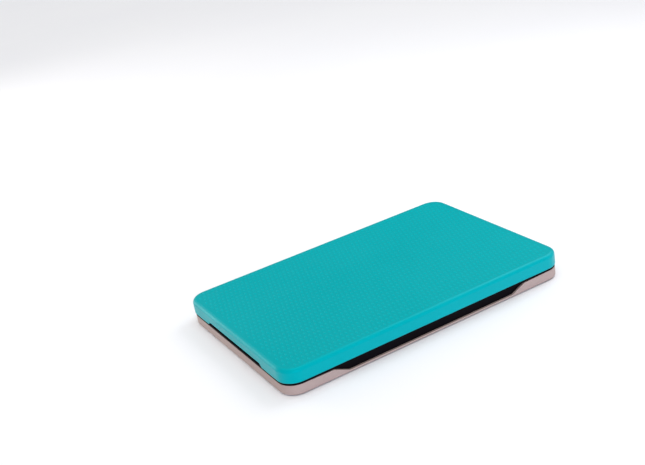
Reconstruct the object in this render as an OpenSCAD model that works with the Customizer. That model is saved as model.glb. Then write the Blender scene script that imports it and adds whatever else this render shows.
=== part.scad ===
// Wet palette: a flat lidded box for keeping paint moist.
// A dark tray is snapped into a shallow base shell and holds a damp sponge under a membrane sheet,
// with a strip of mixing wells beside it. A hollow lid with a seal ring closes onto the tray's flange.
// X runs along the length, -Y is the front, +Z is up. The origin is on the table, under the middle.

/* [Overall] */
// Length of the closed palette
palette_length = 240; // [200:1:300]
// Width of the closed palette
palette_width = 160; // [140:1:200]
// Height of the closed palette with its feet
palette_height = 20.7; // [19.5:0.1:26]
// Corner radius of the lid seen from above
corner_radius = 13.4; // [13:0.2:18]

/* [Lid] */
// Thickness of the lid's side walls
lid_wall = 2; // [1.6:0.1:2.6]
// Thickness of the lid's top
lid_top = 1.8; // [1.4:0.1:2.4]
// Rounding of the lid's upper edge
lid_edge = 3; // [2:0.2:4]
// Rounding of the lid's lower edge
lid_lower_edge = 0.6; // [0.4:0.1:0.8]
// How far the lid stands out past the base on each side
lid_overhang = 0.5; // [0.3:0.1:0.8]
// Length of the finger notch in each short side of the lid
lid_notch = 89; // [40:1:90]
// Height of the finger notch
lid_notch_height = 2.9; // [1:0.1:3]

/* [Seal] */
// Width of the seal ring
seal_width = 1.6; // [1.4:0.1:1.8]
// Height of the lid's groove for the seal ring
seal_groove = 3; // [3:0.1:3.4]

/* [Base] */
// Height of the base shell's rim above the table
base_top = 8.2; // [8.1:0.05:9.2]
// Thickness of the base shell's side walls
base_wall = 1.6; // [1.5:0.1:2]
// Thickness of the base shell's floor
base_floor = 1.4; // [1.4:0.1:1.6]
// Rounding of the base shell's lower edge
base_edge = 1.4; // [1:0.1:2]
// Length of the grip recess in each long side, between its shoulders
recess_length = 166; // [120:0.5:170]
// Length of the recess along its lower edge
recess_sill_length = 142; // [100:0.5:150]
// Height of the strip of base left under the recess
recess_sill = 2.35; // [2.35:0.05:4]
// How far the rim dips between the corner and the recess
shoulder_drop = 0.5; // [0:0.05:0.8]

/* [Tray] */
// Thickness of the tray's flange, the dark band under the lid
flange_thickness = 1.75; // [1.35:0.1:1.95]
// Thickness of the tray's walls
tray_wall = 1.6; // [1.2:0.1:1.8]
// Thickness of the tray's floor
tray_floor = 1.2; // [1:0.1:1.4]
// Distance from the base's outer face to the tray's wall
tray_inset = 5.3; // [5.2:0.1:5.4]
// Distance from the base's outer face to the tray's grip panels
panel_inset = 2.1; // [2.1:0.1:2.8]
// Height of the lip that stands above the flange and centres the lid
lip_height = 1.8; // [1:0.1:2]

/* [Contents] */
// Width of the bay for the strip of wells
strip_bay = 42; // [36:1:48]
// Number of wells in the strip
wells = 4; // [2:1:5]
// Thickness of the damp sponge
sponge_thickness = 5.2; // [4:0.1:5.2]
// Thickness of the membrane sheet
sheet_thickness = 0.15; // [0.1:0.05:0.2]

/* [Feet] */
// Diameter of each rubber foot
foot_diameter = 12; // [8:0.5:14]
// How far the feet lift the base shell off the table
foot_proud = 0.5; // [0.4:0.1:0.6]

/* [Hidden] */
$fn = 64;

// Allowance by which a cutter runs past the face it opens
past = 1;
// Gap between two pieces that rest on each other
rest_gap = 0.05;

// Outline of the base shell, inside the lid's outline
base_length = palette_length - 2 * lid_overhang;
base_width = palette_width - 2 * lid_overhang;
base_radius = corner_radius - lid_overhang;

// Levels above the table
flange_top = base_top + flange_thickness;
seal_bottom = flange_top + rest_gap / 2;
lid_bottom = flange_top + rest_gap;
lid_ceiling = palette_height - lid_top;
base_floor_top = foot_proud + base_floor;
support_height = 0.35;
tray_bottom = base_floor_top + support_height + rest_gap;
basin_floor = tray_bottom + tray_floor;

// Lid: the rim round its opening runs in to the tray's lip, and the notches open into the seal's groove
lip_gap = 0.4;
groove_gap = 0.05;
lid_inner_edge = lid_edge - 1.5;
rim_width = tray_inset + lid_overhang - lip_gap;
rim_depth = seal_groove + 1.2;
groove_width = seal_width + 2 * groove_gap;
groove_inset = 1.6;
lid_notch_depth = groove_inset + groove_width / 2;
lid_notch_slope = 1.2;

// Base: the fillet inside its wall, and where the dip towards the recess starts
base_inner_edge = 0.4;
shoulder_start = base_length / 2 - base_radius;

// Tray
flange_inset = 0.15;
flange_edge = 0.25;
basin_inset = tray_inset + tray_wall;
basin_length = base_length - 2 * basin_inset;
basin_width = base_width - 2 * basin_inset;
basin_radius = base_radius - basin_inset;
basin_edge = 1;
panel_thickness = 1.6;
panel_overlap = 6;

// Divider between the sponge and the strip of wells, with a dip for a fingertip
divider = 1.6;
divider_top = 9.2;
divider_x = basin_length / 2 - strip_bay - divider / 2;
dip_width = 26;
dip_depth = 2.6;

// Snap wedges on the tray and the slots for them in the base shell
snap_length = 9;
snap_height = 1.1;
snap_top = 6.8;
snap_bite = 0.7;
snap_gap = 0.1;
snap_long_x = 95;
snap_short_y = 54;

// Sponge and sheet
sponge_gap = 1.2;
sponge_radius = 5.4;
sponge_length = basin_length - strip_bay - divider - 2 * sponge_gap;
sponge_width = basin_width - 2 * sponge_gap;
sponge_x = -basin_length / 2 + sponge_gap + sponge_length / 2;
sponge_bottom = basin_floor + rest_gap;
sheet_bottom = sponge_bottom + sponge_thickness + rest_gap;
sheet_border = 2;
sheet_radius = 4;

// Strip of wells
strip_gap = 1;
strip_length = basin_width - 2 * strip_gap;
strip_width = strip_bay - 2 * strip_gap;
strip_x = basin_length / 2 - strip_bay / 2;
strip_radius = 6;
strip_bottom = basin_floor + rest_gap;
strip_top = flange_top - 0.1;
strip_wall = 1.2;
strip_edge = 0.8;
well_pitch = (strip_length - 2 * strip_wall) / wells;
well_length = well_pitch - 4;
well_width = strip_width - 8;
well_radius = 6;
well_edge = 3;
well_floor = strip_bottom + strip_wall;

// Feet
foot_pocket = 0.7;
foot_gap = 0.1;
foot_chamfer = 0.35;
foot_x = base_length / 2 - 23;
foot_y = base_width / 2 - 23;

// ---- Shared shapes ----

// Rounded rectangle, centred
module plan(length, width, radius) {
    square([length - 2 * radius, width], center = true);
    square([length, width - 2 * radius], center = true);
    for (x = [-1, 1], y = [-1, 1])
        translate([x * (length / 2 - radius), y * (width / 2 - radius)])
            circle(radius);
}

// One straight side of a frame: the child's x is the distance in from the outline and its y is the height
module side(run, reach) {
    translate([-run / 2, -reach, 0])
        rotate([90, 0, 90])
            linear_extrude(run)
                children();
}

// Sweeps a child outline round a rounded rectangle
module frame(length, width, radius) {
    for (turn = [0, 180]) {
        rotate(turn) side(length - 2 * radius, width / 2) children();
        rotate(turn + 90) side(width - 2 * radius, length / 2) children();
        for (y = [-1, 1])
            rotate(turn)
                translate([length / 2 - radius, y * (width / 2 - radius), 0])
                    rotate(y > 0 ? 0 : -90)
                        rotate_extrude(angle = 90)
                            translate([radius, 0]) mirror([1, 0]) children();
    }
}

// Solid rounded rectangle whose lower edge is rounded
module tub(length, width, radius, height, edge) {
    translate([0, 0, edge]) linear_extrude(height - edge) plan(length, width, radius);
    linear_extrude(edge) plan(length - 2 * edge, width - 2 * edge, radius - edge);
    frame(length, width, radius)
        intersection() {
            square(edge);
            translate([edge, edge]) circle(edge);
        }
}

// The same solid turned over, so that its upper edge is rounded; it stands on z = 0
module cap(length, width, radius, height, edge) {
    translate([0, 0, height]) mirror([0, 0, 1]) tub(length, width, radius, height, edge);
}

// Cutter that rounds the lower outside edge of a rounded rectangle
module lower_edge_cutter(length, width, radius, edge) {
    frame(length, width, radius)
        difference() {
            square(edge);
            translate([edge, edge]) circle(edge);
        }
}

// Places a child at the middle of each long side; the child's -Y faces outwards
module on_long_sides(width) {
    for (turn = [0, 180]) rotate(turn) translate([0, -width / 2, 0]) children();
}

// Places a child at the middle of each short side; the child's -Y faces outwards
module on_short_sides(length) {
    for (turn = [90, 270]) rotate(turn) translate([0, -length / 2, 0]) children();
}

// Places a child at each snap, two to a side
module at_snaps() {
    for (x = [-1, 1]) {
        on_long_sides(base_width) translate([x * snap_long_x, 0, 0]) children();
        on_short_sides(base_length) translate([x * snap_short_y, 0, 0]) children();
    }
}

// Extrudes an upright outline, drawn in x and z, from y = 0 inwards
module inwards(depth) {
    translate([0, depth, 0]) rotate([90, 0, 0]) linear_extrude(depth) children();
}

// ---- Base shell ----

// Cutter for a grip recess: the rim dips gently from the corners, then drops down two slopes to the sill
module recess() {
    half_sill = recess_sill_length / 2;
    half_recess = recess_length / 2;
    shoulder = base_top - shoulder_drop;
    translate([0, -past, 0])
        inwards(base_wall + 1.5 * past)
            polygon([
                [-half_sill, recess_sill], [half_sill, recess_sill], [half_recess, shoulder],
                [shoulder_start, base_top], [shoulder_start, base_top + past],
                [-shoulder_start, base_top + past], [-shoulder_start, base_top], [-half_recess, shoulder]
            ]);
}

// Low ribs on the base's floor that carry the tray
module tray_supports() {
    rib = 2;
    long_rib = base_length - 60;
    cross_rib = base_width - 50;
    translate([0, 0, base_floor_top + support_height / 2]) {
        for (y = [-1, 1])
            translate([0, y * base_width / 5, 0]) cube([long_rib, rib, support_height], center = true);
        for (x = [-1, 0, 1])
            translate([x * base_length / 4, 0, 0]) cube([rib, cross_rib, support_height], center = true);
    }
}

module base_shell() {
    inner_length = base_length - 2 * base_wall;
    inner_width = base_width - 2 * base_wall;
    slot_length = snap_length + 10 * snap_gap;
    slot_height = snap_height + 4 * snap_gap;
    color("#b1a09b") {
        difference() {
            translate([0, 0, foot_proud])
                tub(base_length, base_width, base_radius, base_top - foot_proud, base_edge);
            translate([0, 0, base_floor_top])
                tub(inner_length, inner_width, base_radius - base_wall, base_top, base_inner_edge);
            on_long_sides(base_width) recess();
            at_snaps()
                translate([0, base_wall - snap_bite / 2, snap_top - snap_height / 2])
                    cube([slot_length, snap_bite + 2 * snap_gap, slot_height], center = true);
            for (x = [-1, 1], y = [-1, 1])
                translate([x * foot_x, y * foot_y, foot_proud - past])
                    cylinder(r = foot_diameter / 2 + foot_gap, h = foot_pocket + past);
        }
        tray_supports();
    }
}

// ---- Inner tray ----

// Outline of the tray's flange, wall, lip and rounded foot in one, measured in from the base's outline
module tray_outline() {
    lip_r = tray_wall / 2;
    lip_centre = flange_top + lip_height - lip_r;
    wall_bottom = tray_bottom + basin_edge;
    reach = basin_inset + basin_edge;
    flange_reach = basin_inset - flange_inset;
    difference() {
        union() {
            translate([flange_inset, base_top + flange_edge])
                square([flange_reach, flange_thickness - 2 * flange_edge]);
            translate([flange_inset + flange_edge, base_top])
                square([flange_reach - flange_edge, flange_thickness]);
            for (z = [base_top + flange_edge, flange_top - flange_edge])
                translate([flange_inset + flange_edge, z]) circle(flange_edge);
            translate([tray_inset, wall_bottom]) square([tray_wall, lip_centre - wall_bottom]);
            translate([tray_inset + lip_r, lip_centre]) circle(lip_r);
            translate([tray_inset + basin_edge, tray_bottom])
                square([reach - tray_inset - basin_edge, tray_floor + basin_edge]);
            translate([tray_inset + basin_edge, wall_bottom]) circle(basin_edge);
        }
        translate([reach, basin_floor + basin_edge]) circle(basin_edge);
    }
}

// Upright panel that closes a grip recess behind the base's wall
module grip_panel() {
    half_sill = recess_sill_length / 2 + panel_overlap;
    half_top = recess_length / 2 + panel_overlap;
    panel_top = base_top + flange_thickness / 2;
    panel_bottom = base_floor_top + rest_gap;
    translate([0, panel_inset, 0])
        inwards(panel_thickness)
            polygon([
                [-half_sill, panel_bottom], [half_sill, panel_bottom],
                [half_top, panel_top], [-half_top, panel_top]
            ]);
}

// Round-bottomed dip across the divider
module finger_dip() {
    radius = (pow(dip_width / 2, 2) + pow(dip_depth, 2)) / (2 * dip_depth);
    translate([0, divider_top + radius - dip_depth]) circle(radius, $fn = 128);
}

// Wall between the sponge and the strip of wells
module bay_divider() {
    root = tray_bottom + tray_floor / 2;
    span = basin_width + tray_wall;
    translate([divider_x + divider / 2, 0, 0])
        rotate([90, 0, -90])
            linear_extrude(divider)
                difference() {
                    translate([-span / 2, root]) square([span, divider_top - root]);
                    finger_dip();
                }
}

// Wedge that clicks into a slot in the base's wall
module snap_wedge() {
    back = tray_inset + tray_wall / 2;
    front = base_wall - snap_bite + snap_gap;
    bottom = snap_top - snap_height;
    translate([-snap_length / 2, 0, 0])
        rotate([90, 0, 90])
            linear_extrude(snap_length)
                polygon([
                    [back, bottom], [front + snap_bite, bottom], [front, snap_top - snap_height / 2],
                    [front, snap_top], [back, snap_top]
                ]);
}

module inner_tray() {
    floor_length = basin_length - 2 * basin_edge;
    floor_width = basin_width - 2 * basin_edge;
    color("#1a1b1f") {
        frame(base_length, base_width, base_radius) tray_outline();
        translate([0, 0, tray_bottom])
            linear_extrude(tray_floor) plan(floor_length, floor_width, basin_radius - basin_edge);
        on_long_sides(base_width) grip_panel();
        bay_divider();
        at_snaps() snap_wedge();
    }
}

// ---- Lid ----

// Cutter for a finger notch in a short side of the lid, with sloped ends
module lid_notch_cutter() {
    half = lid_notch / 2;
    top = half - lid_notch_slope * lid_notch_height;
    low = half + lid_notch_slope * past;
    translate([0, -past, 0])
        inwards(lid_notch_depth + past)
            polygon([[-low, -past], [low, -past], [top, lid_notch_height], [-top, lid_notch_height]]);
}

module lid_shell() {
    height = palette_height - lid_bottom;
    hollow = lid_ceiling - lid_bottom;
    inner_length = palette_length - 2 * lid_wall;
    inner_width = palette_width - 2 * lid_wall;
    color("#03a5ac")
        translate([0, 0, lid_bottom])
            difference() {
                union() {
                    difference() {
                        cap(palette_length, palette_width, corner_radius, height, lid_edge);
                        translate([0, 0, -past])
                            cap(inner_length, inner_width, corner_radius - lid_wall, hollow + past, lid_inner_edge);
                    }
                    frame(palette_length, palette_width, corner_radius)
                        translate([lid_wall / 2, 0]) square([rim_width - lid_wall / 2, rim_depth]);
                }
                frame(palette_length, palette_width, corner_radius)
                    translate([groove_inset, -past]) square([groove_width, seal_groove + past]);
                lower_edge_cutter(palette_length, palette_width, corner_radius, lid_lower_edge);
                on_short_sides(palette_length) lid_notch_cutter();
            }
}

// Soft ring in the lid's groove; its round lower edge meets the tray's flange
module lid_seal() {
    height = lid_bottom + seal_groove - groove_gap - seal_bottom;
    tip = seal_width / 2;
    color("#2b2d30")
        translate([0, 0, seal_bottom])
            frame(palette_length, palette_width, corner_radius)
                translate([groove_inset + groove_gap, 0])
                    union() {
                        translate([0, tip]) square([seal_width, height - tip]);
                        translate([tip, tip]) circle(tip);
                    }
}

// ---- Contents ----

module sponge() {
    color("#e6d98c")
        translate([sponge_x, 0, sponge_bottom])
            linear_extrude(sponge_thickness)
                plan(sponge_length, sponge_width, sponge_radius);
}

module membrane_sheet() {
    color("#f2f0e6")
        translate([sponge_x, 0, sheet_bottom])
            linear_extrude(sheet_thickness)
                plan(sponge_length - 2 * sheet_border, sponge_width - 2 * sheet_border, sheet_radius);
}

// Places a child at the centre of each well
module at_wells() {
    for (i = [0 : wells - 1])
        translate([strip_x, (i - (wells - 1) / 2) * well_pitch, 0]) children();
}

module well_strip() {
    height = strip_top - strip_bottom;
    inner_width = strip_width - 2 * strip_wall;
    inner_length = strip_length - 2 * strip_wall;
    color("#f4f4f0")
        difference() {
            union() {
                difference() {
                    translate([strip_x, 0, strip_bottom])
                        cap(strip_width, strip_length, strip_radius, height, strip_edge);
                    translate([strip_x, 0, strip_bottom - past])
                        linear_extrude(height - strip_wall + past)
                            plan(inner_width, inner_length, strip_radius - strip_wall);
                }
                at_wells()
                    translate([0, 0, strip_bottom])
                        tub(well_width + 2 * strip_wall, well_length + 2 * strip_wall,
                            well_radius + strip_wall, height - strip_wall / 2, well_edge);
            }
            at_wells()
                translate([0, 0, well_floor])
                    tub(well_width, well_length, well_radius, height, well_edge);
        }
}

// ---- Feet ----

// Rubber foot in its pocket; x and y choose the corner
module foot(x, y) {
    height = foot_proud + foot_pocket - foot_gap;
    radius = foot_diameter / 2;
    color("#26272a")
        translate([x * foot_x, y * foot_y, 0]) {
            cylinder(r1 = radius - foot_chamfer, r2 = radius, h = foot_chamfer);
            translate([0, 0, foot_chamfer]) cylinder(r = radius, h = height - foot_chamfer);
        }
}

module foot_front_left() { foot(-1, -1); }
module foot_front_right() { foot(1, -1); }
module foot_rear_left() { foot(-1, 1); }
module foot_rear_right() { foot(1, 1); }

base_shell();
inner_tray();
lid_shell();
lid_seal();
sponge();
membrane_sheet();
well_strip();
foot_front_left();
foot_front_right();
foot_rear_left();
foot_rear_right();
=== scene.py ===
import math

import bpy
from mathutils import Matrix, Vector, noise


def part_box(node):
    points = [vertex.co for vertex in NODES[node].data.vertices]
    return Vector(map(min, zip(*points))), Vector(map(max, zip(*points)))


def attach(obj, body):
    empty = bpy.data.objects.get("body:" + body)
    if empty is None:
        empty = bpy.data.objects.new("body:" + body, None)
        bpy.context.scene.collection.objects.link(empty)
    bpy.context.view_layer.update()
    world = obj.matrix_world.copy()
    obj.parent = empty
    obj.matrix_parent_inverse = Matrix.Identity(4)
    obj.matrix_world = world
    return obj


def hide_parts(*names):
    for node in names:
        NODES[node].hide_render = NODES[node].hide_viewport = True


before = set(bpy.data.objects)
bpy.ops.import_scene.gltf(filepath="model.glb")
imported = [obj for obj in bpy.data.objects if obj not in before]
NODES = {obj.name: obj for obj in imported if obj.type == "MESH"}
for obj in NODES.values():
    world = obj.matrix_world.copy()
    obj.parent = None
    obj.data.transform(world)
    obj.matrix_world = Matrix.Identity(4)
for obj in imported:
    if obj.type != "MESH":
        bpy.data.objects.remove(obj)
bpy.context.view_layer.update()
MM = 0.001

# ---- Colours, as sRGB bytes ----
LID_TEAL = (0, 162, 167)
LID_TEAL_PALE = (0, 167, 172)
# Studs: the lid's teal made a little lighter, a painted highlight on the raised grip.
STUD_LIT_TEAL = (0, 170, 175)
STUD_LIT_TEAL_PALE = (2, 176, 181)
BASE_TAUPE = (172, 151, 144)
BASE_TAUPE_PALE = (190, 172, 164)
TRAY_BLACK = (14, 11, 14)
TRAY_BLACK_PALE = (26, 23, 27)
SEAL_BLACK = (9, 9, 11)
FOOT_BLACK = (22, 22, 24)
SPONGE_YELLOW = (226, 208, 128)
# Deeper sponge colour: used where damp, and as painted shade inside the pores.
SPONGE_DAMP_AND_SHADE = (186, 160, 82)
SHEET_CREAM = (240, 238, 228)
STRIP_WHITE = (238, 238, 234)
STRIP_WHITE_PALE = (248, 248, 246)
SHEET_FIBRE = (214, 208, 188)
SEAL_DUST = (60, 60, 62)
FOOT_DUST = (110, 108, 104)
FLOOR_WHITE = (246, 246, 247)
FLOOR_WHITE_DEEP = (244, 244, 246)


# ---- Node helpers ----
def linear(rgb):
    """Linear RGBA from sRGB bytes."""
    out = []
    for byte in rgb:
        c = byte / 255
        out.append(c / 12.92 if c <= 0.04045 else ((c + 0.055) / 1.055) ** 2.4)
    return (*out, 1.0)


class Graph:
    """A material's node tree with short ways to add and join nodes."""

    def __init__(self, name):
        self.material = bpy.data.materials.new(name)
        self.material.use_nodes = True
        self.tree = self.material.node_tree
        self.tree.nodes.clear()
        self.shader = self.add("ShaderNodeBsdfPrincipled")
        output = self.add("ShaderNodeOutputMaterial")
        self.join(self.shader.outputs["BSDF"], output.inputs["Surface"])
        self.place = self.add("ShaderNodeTexCoord").outputs["Object"]

    def add(self, kind, **settings):
        node = self.tree.nodes.new(kind)
        for key, value in settings.items():
            setattr(node, key, value)
        return node

    def join(self, source, target):
        if hasattr(source, "is_output"):
            self.tree.links.new(source, target)
        else:
            target.default_value = source

    def noise(self, scale, detail=4.0, roughness=0.55, vector=None):
        node = self.add("ShaderNodeTexNoise")
        self.join(vector or self.place, node.inputs["Vector"])
        node.inputs["Scale"].default_value = scale
        node.inputs["Detail"].default_value = detail
        node.inputs["Roughness"].default_value = roughness
        return node.outputs["Fac"]

    def voronoi(self, scale, feature="F1", vector=None):
        node = self.add("ShaderNodeTexVoronoi", feature=feature)
        self.join(vector or self.place, node.inputs["Vector"])
        node.inputs["Scale"].default_value = scale
        return node.outputs["Distance"]

    def stretch(self, x, y, z):
        node = self.add("ShaderNodeMapping")
        self.join(self.place, node.inputs["Vector"])
        node.inputs["Scale"].default_value = (x, y, z)
        return node.outputs["Vector"]

    def ramp(self, value, low, high, start=0.0, end=1.0):
        """Maps value from start..end to low..high, clamped."""
        node = self.add("ShaderNodeMapRange")
        self.join(value, node.inputs["Value"])
        node.inputs["From Min"].default_value = start
        node.inputs["From Max"].default_value = end
        node.inputs["To Min"].default_value = low
        node.inputs["To Max"].default_value = high
        return node.outputs["Result"]

    def maths(self, operation, a, b=0.0):
        node = self.add("ShaderNodeMath", operation=operation)
        self.join(a, node.inputs[0])
        self.join(b, node.inputs[1])
        return node.outputs[0]

    def mix(self, amount, a, b):
        """A colour between a and b."""
        node = self.add("ShaderNodeMix", data_type="RGBA")
        self.join(amount, node.inputs[0])
        self.join(a, node.inputs[6])
        self.join(b, node.inputs[7])
        return node.outputs[2]

    def bump(self, height, depth, strength=1.0, normal=None):
        node = self.add("ShaderNodeBump")
        self.join(height, node.inputs["Height"])
        node.inputs["Distance"].default_value = depth
        node.inputs["Strength"].default_value = strength
        if normal is not None:
            self.join(normal, node.inputs["Normal"])
        return node.outputs["Normal"]

    def edges(self, radius):
        """1 on sharp convex or concave edges, 0 on flat faces."""
        bevel = self.add("ShaderNodeBevel", samples=4)
        bevel.inputs["Radius"].default_value = radius
        geometry = self.add("ShaderNodeNewGeometry")
        dot = self.add("ShaderNodeVectorMath", operation="DOT_PRODUCT")
        self.join(bevel.outputs["Normal"], dot.inputs[0])
        self.join(geometry.outputs["Normal"], dot.inputs[1])
        return self.ramp(dot.outputs["Value"], 1.0, 0.0, 0.86, 0.995)

    def set(self, **values):
        for key, value in values.items():
            self.join(value, self.shader.inputs[key.replace("_", " ")])
        return self.material


def moulded_plastic(
    name, colour, pale, roughness, ior,
    sheen=(1, 1, 1), grain=2600.0, grain_depth=0.00003, edge_wear_and_highlight=0.35,
):
    """Satin moulded plastic: slight colour drift, fine grain, faint scuffs, and polished edges
    painted paler, partly as wear and partly as a painted highlight.
    """
    g = Graph(name)
    drift = g.ramp(g.noise(9.0, 3.0), 0.0, 1.0, 0.35, 0.7)
    # Convex and concave edges mixed toward the pale colour: partly wear, partly a painted
    # highlight.
    edge = g.maths("MULTIPLY", g.edges(0.0006), edge_wear_and_highlight)
    colour_now = g.mix(g.maths("MULTIPLY", drift, 0.35), linear(colour), linear(pale))
    colour_now = g.mix(edge, colour_now, linear(pale))
    scuffs = g.ramp(g.noise(60.0, 8.0, 0.7, g.stretch(1.0, 7.0, 1.0)), 0.0, 1.0, 0.62, 0.78)
    smudges = g.ramp(g.noise(24.0, 4.0), -0.5, 0.5, 0.3, 0.7)
    rough = g.maths("ADD", roughness, g.maths("MULTIPLY", smudges, 0.09))
    rough = g.maths("ADD", rough, g.maths("MULTIPLY", scuffs, 0.08))
    rough = g.maths("SUBTRACT", rough, g.maths("MULTIPLY", edge, 0.1))
    normal = g.bump(g.noise(grain, 2.0), grain_depth)
    normal = g.bump(scuffs, 0.000015, 0.5, normal)
    return g.set(
        Base_Color=colour_now, Roughness=rough, Normal=normal,
        IOR=ior, Specular_Tint=(*sheen, 1),
    )


def soft_rubber(name, colour, roughness, dust, ior):
    """Dull rubber with a little dust in its pores."""
    g = Graph(name)
    specks = g.ramp(g.noise(900.0, 6.0, 0.7), 0.0, 1.0, 0.58, 0.75)
    bloom = g.ramp(g.noise(70.0, 3.0), 0.0, 1.0, 0.4, 0.75)
    dusty = g.maths("MULTIPLY", g.maths("ADD", specks, bloom), 0.12)
    colour_now = g.mix(dusty, linear(colour), linear(dust))
    rough = g.ramp(bloom, roughness, roughness + 0.18)
    normal = g.bump(g.noise(1800.0, 3.0), 0.00004)
    return g.set(Base_Color=colour_now, Roughness=rough, Normal=normal, IOR=ior)


def sponge_material(name):
    """Open-cell cellulose: round pores of two sizes and a slightly deeper colour inside them,
    which is painted shade.
    """
    g = Graph(name)
    large = g.ramp(g.voronoi(260.0), 1.0, 0.0, 0.12, 0.42)
    small = g.ramp(g.voronoi(820.0), 1.0, 0.0, 0.1, 0.5)
    patches = g.ramp(g.noise(30.0, 3.0), 0.35, 1.0, 0.35, 0.65)
    large = g.maths("MULTIPLY", large, patches)
    small = g.maths("MULTIPLY", small, 0.55)
    pores = g.maths("MAXIMUM", large, small)
    damp = g.ramp(g.noise(11.0, 2.0), 0.0, 1.0, 0.35, 0.7)
    colour_now = g.mix(g.maths("MULTIPLY", damp, 0.4), linear(SPONGE_YELLOW), linear(SPONGE_DAMP_AND_SHADE))
    # Darker colour inside the pores: painted shade.
    colour_now = g.mix(g.maths("MULTIPLY", pores, 0.7), colour_now, linear(SPONGE_DAMP_AND_SHADE))
    rough = g.ramp(damp, 0.85, 0.55)
    normal = g.bump(g.maths("SUBTRACT", 1.0, pores), 0.0006)
    return g.set(
        Base_Color=colour_now, Roughness=rough, Normal=normal,
        Subsurface_Weight=0.15, Subsurface_Scale=0.002,
    )


def sheet_material(name):
    """Parchment-like membrane: faint fibres, a little damp translucence."""
    g = Graph(name)
    fibres = g.ramp(g.noise(420.0, 6.0, 0.7, g.stretch(1.0, 3.0, 1.0)), 0.0, 1.0, 0.42, 0.66)
    damp = g.ramp(g.noise(14.0, 3.0), 0.0, 1.0, 0.4, 0.68)
    colour_now = g.mix(g.maths("MULTIPLY", damp, 0.3), linear(SHEET_CREAM), linear(SPONGE_YELLOW))
    colour_now = g.mix(g.maths("MULTIPLY", fibres, 0.12), colour_now, linear(SHEET_FIBRE))
    rough = g.ramp(damp, 0.62, 0.4)
    normal = g.bump(fibres, 0.00006, 0.6)
    return g.set(Base_Color=colour_now, Roughness=rough, Normal=normal)


TEAL_SHEEN = (0.0, 0.8, 0.86)
TEAL_GRAIN_DEPTH = 0.000014
MATERIALS = {
    "lid": moulded_plastic(
        "lid_teal", LID_TEAL, LID_TEAL_PALE, 0.37, 1.45, TEAL_SHEEN, grain_depth=TEAL_GRAIN_DEPTH
    ),
    # Grip studs in a lighter teal than the lid as a painted highlight, with little edge wear and
    # highlight.
    "studs": moulded_plastic(
        "lid_grip", STUD_LIT_TEAL, STUD_LIT_TEAL_PALE, 0.38, 1.45, TEAL_SHEEN,
        grain_depth=TEAL_GRAIN_DEPTH, edge_wear_and_highlight=0.05,
    ),
    "base": moulded_plastic("base_taupe", BASE_TAUPE, BASE_TAUPE_PALE, 0.46, 1.27),
    "tray": moulded_plastic("tray_black", TRAY_BLACK, TRAY_BLACK_PALE, 0.5, 1.08),
    "strip": moulded_plastic(
        "strip_white", STRIP_WHITE, STRIP_WHITE_PALE, 0.22, 1.45, grain=900.0, grain_depth=0.00001
    ),
    "seal": soft_rubber("seal_silicone", SEAL_BLACK, 0.6, SEAL_DUST, 1.1),
    "foot": soft_rubber("foot_rubber", FOOT_BLACK, 0.7, FOOT_DUST, 1.3),
    "sponge": sponge_material("sponge_cellulose"),
    "sheet": sheet_material("sheet_parchment"),
}
NODE_MATERIALS = {
    "lid_shell": "lid", "lid_seal": "seal", "base_shell": "base", "inner_tray": "tray",
    "well_strip": "strip", "foot_front_left": "foot", "foot_front_right": "foot",
    "foot_rear_left": "foot", "foot_rear_right": "foot",
}


def dress(obj, material):
    obj.data.materials.clear()
    obj.data.materials.append(material)


# ---- Mesh helpers ----
def add_mesh(name, vertices, faces, material, smooth=True):
    mesh = bpy.data.meshes.new(name)
    mesh.from_pydata(vertices, [], faces)
    mesh.validate()
    obj = bpy.data.objects.new(name, mesh)
    bpy.context.scene.collection.objects.link(obj)
    dress(obj, material)
    if smooth:
        for polygon in mesh.polygons:
            polygon.use_smooth = True
    return obj


def in_plan(x, y, half_x, half_y, radius):
    """How far inside a rounded rectangle a point lies; negative outside."""
    dx, dy = abs(x) - (half_x - radius), abs(y) - (half_y - radius)
    return radius - math.hypot(max(dx, 0), max(dy, 0)) - min(max(dx, dy), 0)


def round_corner(x, y, half_x, half_y, radius):
    """Moves a point of a rectangle so that the rectangle's corners become round."""
    qx = max(-(half_x - radius), min(half_x - radius, x))
    qy = max(-(half_y - radius), min(half_y - radius, y))
    dx, dy = x - qx, y - qy
    length = math.hypot(dx, dy)
    if length < 1e-9 or not dx or not dy:
        return x, y
    scale = max(abs(dx), abs(dy)) / length
    return qx + dx * scale, qy + dy * scale


def stations(half, step, edge_steps):
    """Places across a slab from -half to half: close together near both edges, even between."""
    inner = half - edge_steps[-1]
    count = max(2, round(2 * inner / step))
    middle = [-inner + 2 * inner * i / count for i in range(count + 1)]
    low = [-half + e for e in edge_steps[:-1]]
    return low + middle + [-v for v in reversed(low)]


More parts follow.
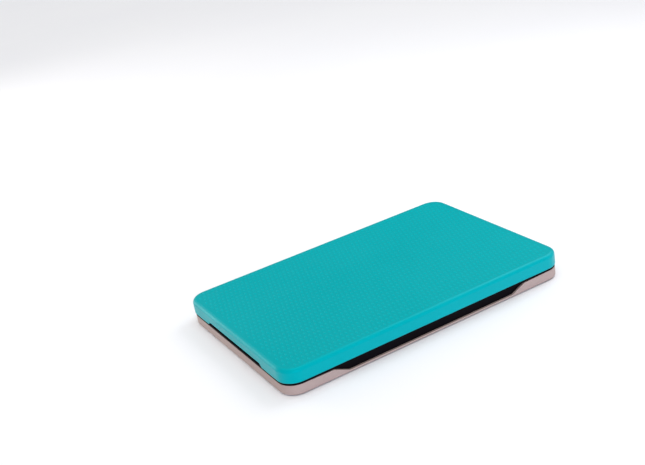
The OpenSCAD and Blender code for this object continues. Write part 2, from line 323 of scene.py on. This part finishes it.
def slab(name, low, high, radius, step, edge_steps, rows, shape, material):
    """Closed slab on a fine grid.

    shape(x, y, side, inset) gives the height of the top skin (side 1) or the bottom skin (-1).
    """
    centre = (low + high) / 2
    half_x, half_y = (high.x - low.x) / 2, (high.y - low.y) / 2
    xs, ys = stations(half_x, step, edge_steps), stations(half_y, step, edge_steps)
    nx, ny = len(xs), len(ys)
    vertices, faces = [], []
    for side in (1, -1):
        for y in ys:
            for x in xs:
                px, py = round_corner(x, y, half_x, half_y, radius)
                inset = min(half_x - abs(x), half_y - abs(y))
                vertices.append((centre.x + px, centre.y + py, shape(px, py, side, inset)))
    layer = nx * ny
    for j in range(ny - 1):
        for i in range(nx - 1):
            a = j * nx + i
            quad = (a, a + 1, a + 1 + nx, a + nx)
            faces.append(quad)
            faces.append(tuple(v + layer for v in reversed(quad)))
    rim = list(range(nx)) + [j * nx + nx - 1 for j in range(1, ny)]
    rim += [(ny - 1) * nx + i for i in range(nx - 2, -1, -1)]
    rim += [j * nx for j in range(ny - 2, 0, -1)]
    loops = [rim]
    for row in range(1, rows):
        t = row / rows
        start = len(vertices)
        for v in rim:
            top, bottom = vertices[v], vertices[v + layer]
            vertices.append(tuple(top[k] + (bottom[k] - top[k]) * t for k in range(3)))
        loops.append(list(range(start, start + len(rim))))
    loops.append([v + layer for v in rim])
    for upper, lower in zip(loops, loops[1:]):
        for k in range(len(rim)):
            n = (k + 1) % len(rim)
            faces.append((upper[k], lower[k], lower[n], upper[n]))
    return add_mesh(name, vertices, faces, material)


# ---- Sponge and sheet ----
SPONGE_RADIUS = 5.4 * MM
SPONGE_ROUNDING = 1.1 * MM
SPONGE_PORE_PITCH = 2.9 * MM
SPONGE_PORE_DEPTH = 0.55 * MM
SPONGE_PORE_SIZE = 0.34
SPONGE_PORE_SIZE_SPREAD = 0.3
SPONGE_PORE_SIZE_LEAST = 0.12
SPONGE_PORE_PATCHES = 0.23
SPONGE_PORE_SHARPNESS = 0.7
SPONGE_SKIN_LEVEL = 7.0 * MM
SPONGE_SWELL = 0.18 * MM
SPONGE_SWELL_PER_METRE = 26.0
SPONGE_UNDERSIDE_SHARE = 0.6
SPONGE_GRID = 1.25 * MM
SPONGE_EDGE_STEPS = [0.0, 0.12 * MM, 0.4 * MM, 0.85 * MM, 1.5 * MM]
SPONGE_SIDE_ROWS = 3


def soft_edge(inset, rounding):
    """How far a rounded edge drops below the flat face at a distance in from the side."""
    if inset >= rounding:
        return 0.0
    return rounding - math.sqrt(max(0.0, rounding**2 - (rounding - inset) ** 2))


def make_sponge():
    low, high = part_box("sponge")

    def skin(x, y, side, inset):
        place = Vector((x, y, side * SPONGE_SKIN_LEVEL)) / SPONGE_PORE_PITCH
        near = noise.voronoi(place)[0][0]
        spread = noise.noise(place * SPONGE_PORE_PATCHES)
        size = max(SPONGE_PORE_SIZE + SPONGE_PORE_SIZE_SPREAD * spread, SPONGE_PORE_SIZE_LEAST)
        pore = max(0.0, 1.0 - near / size) ** SPONGE_PORE_SHARPNESS * SPONGE_PORE_DEPTH
        waviness = 0.5 + 0.5 * noise.noise(Vector((x, y, side)) * SPONGE_SWELL_PER_METRE)
        swell = waviness * SPONGE_SWELL
        drop = soft_edge(inset, SPONGE_ROUNDING) + swell + pore
        return high.z - drop if side > 0 else low.z + drop * SPONGE_UNDERSIDE_SHARE

    sponge = slab(
        "sponge_pad", low, high, SPONGE_RADIUS, SPONGE_GRID,
        SPONGE_EDGE_STEPS, SPONGE_SIDE_ROWS, skin, MATERIALS["sponge"],
    )
    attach(sponge, "sponge")
    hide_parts("sponge")


SHEET_RADIUS = 4.0 * MM
SHEET_LIFT = 0.45 * MM
SHEET_CORNER_START = 1.62
SHEET_CORNER_SPAN = 0.38
SHEET_RIPPLES_PER_METRE = (16.0, 30.0)
SHEET_FINE_PER_METRE = 70.0
SHEET_RIPPLE = 0.22
SHEET_FINE_RIPPLE = 0.05
SHEET_GRID = 2.4 * MM
SHEET_EDGE_STEPS = [0.0, 1.2 * MM]


def make_sheet():
    low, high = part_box("membrane_sheet")
    thickness = high.z - low.z
    per_x, per_y = SHEET_RIPPLES_PER_METRE
    half_x, half_y = (high.x - low.x) / 2, (high.y - low.y) / 2

    def skin(x, y, side, inset):
        ripple = 0.5 + 0.5 * noise.noise(Vector((x * per_x, y * per_y, 3.0)))
        fine_at = Vector((x * SHEET_FINE_PER_METRE, y * SHEET_FINE_PER_METRE, 9.0))
        fine = 0.5 + 0.5 * noise.noise(fine_at)
        reach = abs(x) / half_x + abs(y) / half_y
        corner = max(0.0, reach - SHEET_CORNER_START) / SHEET_CORNER_SPAN
        curl = SHEET_LIFT * corner**2
        wave = (SHEET_RIPPLE * ripple + SHEET_FINE_RIPPLE * fine) * MM
        return low.z + wave + curl + (thickness if side > 0 else 0.0)

    sheet = slab(
        "membrane_sheet_damp", low, high, SHEET_RADIUS, SHEET_GRID,
        SHEET_EDGE_STEPS, 1, skin, MATERIALS["sheet"],
    )
    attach(sheet, "sheet")
    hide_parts("membrane_sheet")


# ---- Grip studs on the lid: low rounded lozenges in staggered rows ----
STUD_PITCH = 3.6 * MM
STUD_ROW_PITCH = 5.26 * MM
STUD_HALF_WIDTH = 1.1 * MM
STUD_HALF_LENGTH = 1.95 * MM
STUD_TOP_SCALE = 0.62
STUD_SQUARENESS = 1.35
STUD_HEIGHT = 0.15 * MM
STUD_ROOT = 0.04 * MM
STUD_MARGIN = 5.2 * MM
STUD_SIDES = 12
LID_CORNER = 13.4 * MM


def lozenge():
    """Outline of one stud, centred."""
    points = []
    for k in range(STUD_SIDES):
        c, s = math.cos(math.tau * k / STUD_SIDES), math.sin(math.tau * k / STUD_SIDES)
        reach = (abs(c) ** STUD_SQUARENESS + abs(s) ** STUD_SQUARENESS) ** (-1 / STUD_SQUARENESS)
        points.append((c * reach * STUD_HALF_WIDTH, s * reach * STUD_HALF_LENGTH))
    return points


def make_studs():
    low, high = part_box("lid_shell")
    centre = (low + high) / 2
    half_x, half_y = (high.x - low.x) / 2, (high.y - low.y) / 2
    columns, rows = int(half_x / STUD_PITCH) + 1, int(half_y / STUD_ROW_PITCH)
    outline, n = lozenge(), STUD_SIDES
    levels = ((1.0, -STUD_ROOT), (STUD_TOP_SCALE, STUD_HEIGHT))
    vertices, faces = [], []
    for j in range(-rows, rows + 1):
        for i in range(-columns, columns + 1):
            x, y = (i + 0.5 * (j % 2)) * STUD_PITCH, j * STUD_ROW_PITCH
            if in_plan(x, y, half_x, half_y, LID_CORNER) < STUD_MARGIN:
                continue
            base = len(vertices)
            for scale, z in levels:
                for dx, dy in outline:
                    px, py = centre.x + x + dx * scale, centre.y + y + dy * scale
                    vertices.append((px, py, high.z + z))
            faces.append(tuple(base + k for k in reversed(range(n))))
            faces.append(tuple(base + n + k for k in range(n)))
            for k in range(n):
                m = (k + 1) % n
                faces.append((base + k, base + m, base + n + m, base + n + k))
    studs = add_mesh("lid_grip_studs", vertices, faces, MATERIALS["studs"], smooth=False)
    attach(studs, "lid")


for node, key in NODE_MATERIALS.items():
    dress(NODES[node], MATERIALS[key])
make_sponge()
make_sheet()
make_studs()


# ---- Floor, light and camera ----
FLOOR_REACH = 6.0


def add_floor():
    g = Graph("floor")
    tone = g.ramp(g.noise(3.0, 2.0), 0.0, 1.0, 0.3, 0.7)
    colour = g.mix(tone, linear(FLOOR_WHITE), linear(FLOOR_WHITE_DEEP))
    g.set(Base_Color=colour, Roughness=0.7)
    r = FLOOR_REACH
    floor = add_mesh(
        "floor", [(-r, -r, 0), (r, -r, 0), (r, r, 0), (-r, r, 0)],
        [(0, 1, 2, 3)], g.material, smooth=False,
    )


def aim(lamp, direction):
    """Turns a lamp so that its light travels along direction."""
    lamp.rotation_euler = Vector(direction).to_track_quat("-Z", "Y").to_euler()


def add_sun(name, towards_light, strength, spread, colour):
    data = bpy.data.lights.new(name, "SUN")
    data.energy = strength * math.pi
    data.angle = math.radians(spread)
    data.color = colour
    lamp = bpy.data.objects.new(name, data)
    bpy.context.scene.collection.objects.link(lamp)
    aim(lamp, [-c for c in towards_light])


def add_panel(name, place, target, size, radiance, colour):
    data = bpy.data.lights.new(name, "AREA")
    data.shape = "RECTANGLE"
    data.size, data.size_y = size
    data.energy = radiance * math.pi * size[0] * size[1]
    data.color = colour
    lamp = bpy.data.objects.new(name, data)
    bpy.context.scene.collection.objects.link(lamp)
    lamp.location = place
    aim(lamp, Vector(target) - Vector(place))


AMBIENT = 0.62
AMBIENT_IN_REFLECTIONS = 0.02
BACKDROP = 0.76


def add_world():
    """Even white surroundings, much darker in reflections, and pale where the camera sees them."""
    world = bpy.data.worlds.new("studio")
    world.use_nodes = True
    tree = world.node_tree
    paths = tree.nodes.new("ShaderNodeLightPath")
    strength = tree.nodes.new("ShaderNodeMapRange")
    strength.inputs["To Min"].default_value = AMBIENT
    strength.inputs["To Max"].default_value = AMBIENT_IN_REFLECTIONS
    backdrop = tree.nodes.new("ShaderNodeMath")
    backdrop.operation = "MULTIPLY"
    backdrop.inputs[1].default_value = BACKDROP
    brighter = tree.nodes.new("ShaderNodeMath")
    brighter.operation = "MAXIMUM"
    background = tree.nodes["Background"]
    background.inputs["Color"].default_value = (1.0, 1.0, 1.0, 1)
    tree.links.new(paths.outputs["Is Glossy Ray"], strength.inputs["Value"])
    tree.links.new(paths.outputs["Is Camera Ray"], backdrop.inputs[0])
    tree.links.new(strength.outputs["Result"], brighter.inputs[0])
    tree.links.new(backdrop.outputs[0], brighter.inputs[1])
    tree.links.new(brighter.outputs[0], background.inputs["Strength"])
    world.cycles.sampling_method = "NONE"
    bpy.context.scene.world = world


def add_light():
    add_world()
    add_sun(
        "overhead", towards_light=(-0.08, -0.1, 1.0), strength=0.29, spread=50,
        colour=(1.0, 0.99, 0.95),
    )
    add_sun(
        "front", towards_light=(-0.15, -1.0, 0.12), strength=0.5, spread=40,
        colour=(0.84, 0.92, 1.24),
    )
    add_panel(
        "right_side", place=(0.5, 0.05, 0.55), target=(0.05, 0.0, 0.0), size=(0.45, 0.45),
        radiance=2.6, colour=(0.96, 0.99, 1.06),
    )
    add_panel(
        "sheen", place=(-0.2, 0.95, 0.48), target=(-0.1, 0.04, 0), size=(0.5, 0.5),
        radiance=0.8, colour=(1, 0.98, 0.96),
    )
    add_panel(
        "side_sheen", place=(-0.6, 0.95, 0.24), target=(-0.12, 0.0, 0.01), size=(0.5, 0.44),
        radiance=3.8, colour=(1, 0.93, 0.9),
    )


# Camera: its focal length in pixels of the picture, its turn in degrees and its place in mm
CAMERA_FOCAL_PX = 1044.7
PICTURE_WIDTH = 645
SENSOR = 36.0
CAMERA_TURN = (66.344, 9.422, -30.567)
CAMERA_PLACE = (-346.42, -627.85, 370.36)


def add_camera():
    data = bpy.data.cameras.new("camera")
    data.sensor_width = SENSOR
    data.lens = CAMERA_FOCAL_PX / PICTURE_WIDTH * SENSOR
    data.clip_start, data.clip_end = 0.01, 20
    camera = bpy.data.objects.new("camera", data)
    bpy.context.scene.collection.objects.link(camera)
    camera.rotation_mode = "XYZ"
    camera.rotation_euler = [math.radians(a) for a in CAMERA_TURN]
    camera.location = [c * MM for c in CAMERA_PLACE]
    bpy.context.scene.camera = camera


add_floor()
add_light()
add_camera()
bpy.context.scene.view_settings.view_transform = "Standard"
